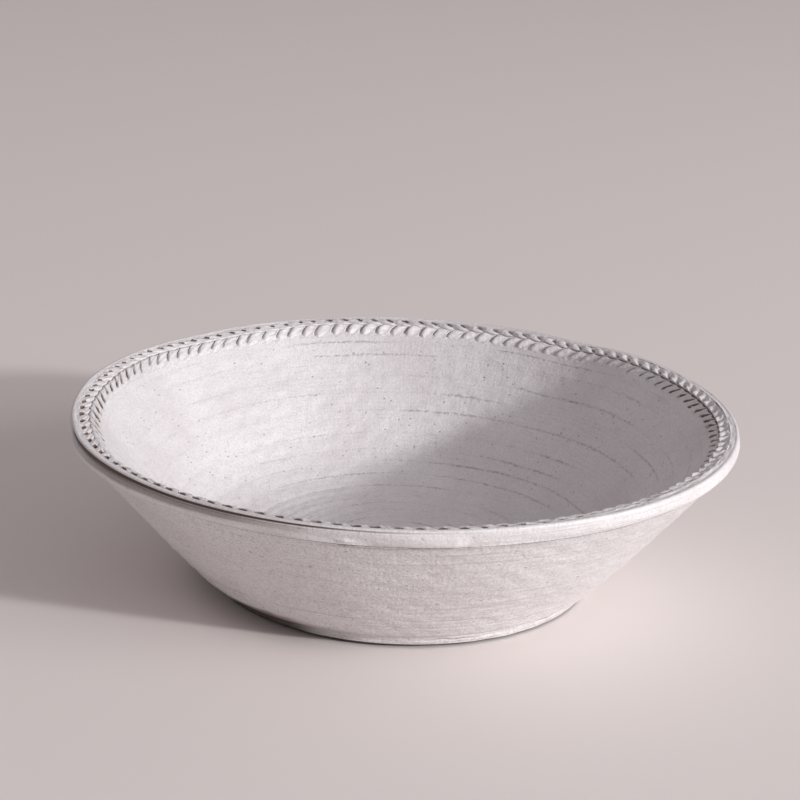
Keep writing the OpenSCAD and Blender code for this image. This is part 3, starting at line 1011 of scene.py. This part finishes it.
body_look = glaze_look("satin_white_glaze", streaks=0.3, pits=1.0, notch=0.9, clay=NOTCH_CLAY_AND_SHADE)
rim_look = glaze_look("rim_white_glaze", streaks=0.25, pits=0.5, notch=0.95, clay=NOTCH_CLAY_AND_SHADE)
braid_look = glaze_look("braid_white_glaze", streaks=0.2, pits=0.4, notch=0.95, clay=NOTCH_CLAY_AND_SHADE)
foot_look = glaze_look("foot_glaze_bare_and_shadowed", streaks=0.5, pits=1.0, notch=1.0, clay=FOOT_CLAY_AND_SHADOW)

# Pieces and the solids they stand for

starts = lobe_turns()
pieces = [
    (build_body(), "bowl_body", "white_glaze", body_look),
    (build_foot(), "foot_ring", "foot_clay", foot_look),
    (build_rim(), "rim_roll", "rim_glaze", rim_look),
    (build_outer_cord(starts), "outer_braid_cord", "braid_glaze", braid_look),
    (build_inner_cord(starts), "inner_braid_cord", "braid_glaze", braid_look),
]
for piece, node, slot, look in pieces:
    piece.data.materials.append(look)
    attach(piece, "root")
    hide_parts(node)

# Floor, light and camera

floor_mesh = bpy.data.meshes.new("studio_floor")
floor_mesh.from_pydata([(-6, -4, 0), (6, -4, 0), (6, 9, 0), (-6, 9, 0)], [], [(0, 1, 2, 3)])
floor = add_object("studio_floor", floor_mesh)
floor_look = Look("pale_floor")
floor_look.shader.inputs["Base Color"].default_value = srgb(240, 233, 230)
floor_look.shader.inputs["Roughness"].default_value = 0.7
floor_mesh.materials.append(floor_look.material)


def add_softbox(name, azimuth, elevation, distance, width, height, power):
    """A flat lamp aimed at the bowl: angles in degrees, azimuth from +X towards +Y, lengths in metres."""
    a, e = math.radians(azimuth), math.radians(elevation)
    way = Vector((math.cos(e) * math.cos(a), math.cos(e) * math.sin(a), math.sin(e)))
    data = bpy.data.lights.new(name, "AREA")
    data.shape = "RECTANGLE"
    data.size = width
    data.size_y = height
    data.energy = power
    lamp = add_object(name, data)
    lamp.location = Vector((0, 0, 0.05)) + way * distance
    lamp.rotation_euler = (-way).to_track_quat("-Z", "Y").to_euler()


add_softbox("key_light", azimuth=-31, elevation=18, distance=6.0, width=0.35, height=0.35, power=230)
add_softbox("soft_light", azimuth=-28, elevation=25, distance=6.0, width=3.0, height=2.0, power=102)

world = bpy.data.worlds.new("studio_air")
world.use_nodes = True
sky = world.node_tree.nodes["Background"]
sky.inputs["Color"].default_value = (1.0, 0.92, 0.94, 1.0)
sky.inputs["Strength"].default_value = 0.345
scene.world = world
scene.view_settings.view_transform = "Standard"


def aim_camera():
    """The photo's camera: above and in front of the bowl, aimed a little off its middle, rolled slightly.
    Angles are in radians; the focal length, the aim and half the picture's width are in pixels."""
    elevation, distance, roll = 0.359377, 6.6 * RIM_R * MM, 0.0343815
    focal, aim_u, aim_v, half = 2173.334, 404.552, 493.381, 400.0
    sensor = 36
    back = Vector((0, -math.cos(elevation), math.sin(elevation)))
    right = Vector((1, 0, 0))
    ahead = -back
    up = right.cross(ahead)
    yaw, pitch = math.atan2(aim_u - half, focal), math.atan2(aim_v - half, focal)
    turn = Matrix.Rotation(yaw, 3, up)
    ahead, right = turn @ ahead, turn @ right
    tilt = Matrix.Rotation(pitch, 3, right)
    ahead, up = tilt @ ahead, tilt @ up
    side = right * math.cos(roll) + up * math.sin(roll)
    top = -right * math.sin(roll) + up * math.cos(roll)
    data = bpy.data.cameras.new("photo_camera")
    data.sensor_width = sensor
    data.lens = sensor * focal / (2 * half)
    camera = add_object("photo_camera", data)
    place_at = Vector((0, 0, 0.25 * RIM_R * MM)) + back * distance
    turn3 = Matrix((side, top, -ahead)).transposed()
    camera.matrix_world = Matrix.Translation(place_at) @ turn3.to_4x4()
    scene.camera = camera


aim_camera()
